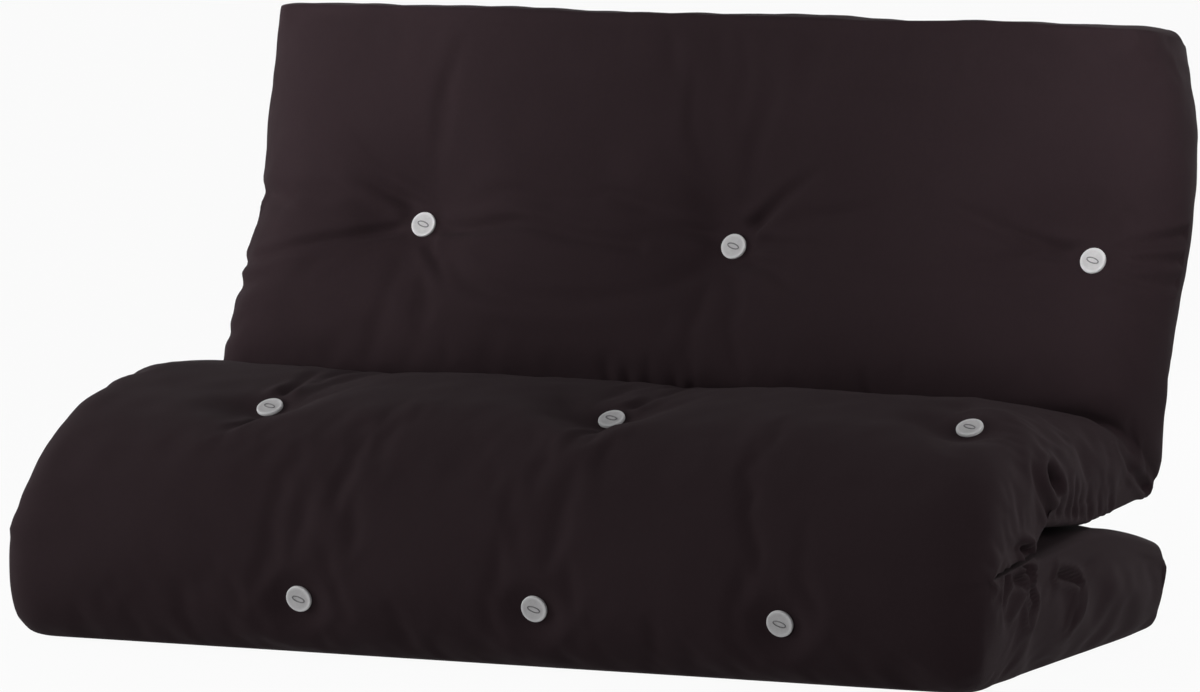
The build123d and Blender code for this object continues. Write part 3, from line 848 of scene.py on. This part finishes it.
set_on_tufts(disc_tree, disc_given, disc_made, disc_smooth.outputs[0])

loop_tree, loop_given, loop_made, loop_keys = new_tree("twine_loop", (
    ("Half width", "NodeSocketFloat"), ("Half height", "NodeSocketFloat"),
    ("Twine radius", "NodeSocketFloat"), ("Material", "NodeSocketMaterial"),
))
loop_ring = add_step(loop_tree, "GeometryNodeCurvePrimitiveCircle", [
    ("Resolution", 40), ("Radius", 1.0),
], mode="RADIUS")
loop_place = add_step(loop_tree, "GeometryNodeInputPosition")
loop_halves = add_step(loop_tree, "ShaderNodeCombineXYZ", [
    ("X", loop_given.outputs["Half width"]), ("Y", loop_given.outputs["Half height"]),
])
loop_oval = add_step(loop_tree, "ShaderNodeVectorMath", [
    (0, loop_place.outputs[0]), (1, loop_halves.outputs[0]),
], operation="MULTIPLY")
loop_laid = add_step(loop_tree, "GeometryNodeSetPosition", [
    ("Geometry", loop_ring.outputs["Curve"]), ("Position", loop_oval.outputs[0]),
])
loop_strand = add_step(loop_tree, "GeometryNodeCurvePrimitiveCircle", [
    ("Resolution", 8), ("Radius", loop_given.outputs["Twine radius"]),
], mode="RADIUS")
loop_twine = add_step(loop_tree, "GeometryNodeCurveToMesh", [
    ("Curve", loop_laid.outputs[0]), ("Profile Curve", loop_strand.outputs["Curve"]),
])
loop_smooth = add_step(loop_tree, "GeometryNodeSetShadeSmooth", [("Geometry", loop_twine.outputs[0])])
set_on_tufts(loop_tree, loop_given, loop_made, loop_smooth.outputs[0])

fibres, fibres_in, fibres_out = new_group("felt_fibres", (("Fibre scale", 900.0),), ("Tone", "Height"))
fibres_object = fibres.nodes.new("ShaderNodeTexCoord")
fibres_fine = fibres.nodes.new("ShaderNodeTexNoise")
fibres_fine.inputs["Detail"].default_value = 4.0
fibres.links.new(fibres_in.outputs["Fibre scale"], fibres_fine.inputs["Scale"])
fibres.links.new(fibres_object.outputs["Object"], fibres_fine.inputs["Vector"])
fibres_cloud = add_noise(fibres, fibres_object.outputs["Object"], 120.0, 3.0)
fibres.links.new(add_math(fibres, "MULTIPLY", add_math(
    fibres, "ADD", fibres_fine.outputs["Fac"], fibres_cloud), 0.5), fibres_out.inputs["Tone"])
fibres.links.new(fibres_fine.outputs["Fac"], fibres_out.inputs["Height"])


def fibre_material(name, scale, dark, pale, depth):
    """A dull fibrous finish between two colours, with its own bump."""
    material = bpy.data.materials.new(name)
    material.use_nodes = True
    tree = material.node_tree
    shader = tree.nodes["Principled BSDF"]
    fibre = tree.nodes.new("ShaderNodeGroup")
    fibre.node_tree = fibres
    fibre.inputs["Fibre scale"].default_value = scale
    dye = tree.nodes.new("ShaderNodeValToRGB")
    dye.name = "dye"
    dye.color_ramp.elements[0].position, dye.color_ramp.elements[1].position = 0.3, 0.7
    dye.color_ramp.elements[0].color, dye.color_ramp.elements[1].color = dark, pale
    tree.links.new(fibre.outputs["Tone"], dye.inputs["Fac"])
    tree.links.new(dye.outputs["Color"], shader.inputs["Base Color"])
    bump = tree.nodes.new("ShaderNodeBump")
    bump.inputs["Strength"].default_value = 0.4
    bump.inputs["Distance"].default_value = depth
    tree.links.new(fibre.outputs["Height"], bump.inputs["Height"])
    tree.links.new(bump.outputs["Normal"], shader.inputs["Normal"])
    shader.inputs["Roughness"].default_value = 0.9
    shader.inputs["Specular IOR Level"].default_value = 0.2
    return material


felt = fibre_material(
    "pale_felt", 900.0, (0.50, 0.49, 0.495, 1), (0.62, 0.61, 0.615, 1), 0.0005)
felt_tree = felt.node_tree
felt_rim = add_step(felt_tree, "ShaderNodeAttribute", attribute_name="rim")
felt_lighter = add_step(felt_tree, "ShaderNodeMix", [
    (0, felt_rim.outputs["Fac"]), (6, felt_tree.nodes["dye"].outputs["Color"]), (7, (0.74, 0.735, 0.74, 1)),
], data_type="RGBA")
felt_tree.links.new(felt_lighter.outputs[2], felt_tree.nodes["Principled BSDF"].inputs["Base Color"])
twine = fibre_material(
    "grey_twine", 1600.0, (0.16, 0.155, 0.16, 1), (0.30, 0.295, 0.30, 1), 0.0004)

LOOP_HALF_WIDTH, LOOP_HALF_HEIGHT, TWINE_RADIUS = 0.0085, 0.0034, 0.00085
LOOP_LEAN, LOOP_CLEAR = math.radians(-18), 0.3
RIM_WIDTH, RIM_HEIGHT = 0.0036, 0.0009
for body, (places, facing, through, *_) in tuft_rows.items():
    out = np.array((0.0, *facing))
    up = np.cross(out, (1.0, 0.0, 0.0))
    spots = [(np.array(place), out, 1.0) for place in places]
    spots += [(np.array(place) - through * out, -out, REVERSE_DISC_RADIUS / DISC_RADIUS) for place in places]
    for kind, tree, keys, height, sizes, material, nodes, slot in (
        ("felt_discs", disc_tree, disc_keys, 0.5 * DISC_THICKNESS, {
            "Radius": DISC_RADIUS * 0.001, "Thickness": DISC_THICKNESS * 0.001,
            "Rim width": RIM_WIDTH, "Rim height": RIM_HEIGHT,
        }, felt, ("tuft_discs", "reverse_discs"), "tuft_felt"),
        ("twine_loops", loop_tree, loop_keys, DISC_THICKNESS + LOOP_CLEAR, {
            "Half width": LOOP_HALF_WIDTH, "Half height": LOOP_HALF_HEIGHT, "Twine radius": TWINE_RADIUS,
        }, twine, ("tuft_twines",), "twine"),
    ):
        spot_mesh = bpy.data.meshes.new(f"{body}_{kind}_spots")
        spot_mesh.from_pydata([
            ((place + way * height) * 0.001 + (0, NOSE_Y, 0)).tolist() for place, way, scale in spots
        ], [], [])
        ways = [way for place, way, scale in spots]
        sideways = [np.array((math.cos(LOOP_LEAN), 0, 0)) + math.sin(LOOP_LEAN) * up] * len(spots)
        for label, values in (("facing", ways), ("sideways", sideways)):
            spot_mesh.attributes.new(label, "FLOAT_VECTOR", "POINT").data.foreach_set(
                "vector", np.array(values, np.float32).ravel())
        spot_mesh.attributes.new("scale", "FLOAT", "POINT").data.foreach_set(
            "value", [scale for place, way, scale in spots])
        spot = bpy.data.objects.new(f"{body}_{kind}_spots", spot_mesh)
        bpy.context.scene.collection.objects.link(spot)
        setting = spot.modifiers.new(kind, "NODES")
        setting.node_group = tree
        for label, value in {**sizes, "Material": material}.items():
            setting[keys[label]] = value
        piece_mesh = made_mesh(spot)
        bpy.data.objects.remove(spot)
        piece = bpy.data.objects.new(f"{body}_{kind}", piece_mesh)
        bpy.context.scene.collection.objects.link(piece)
        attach(piece, body)
        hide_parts(*[f"{body}_{node}" for node in nodes])
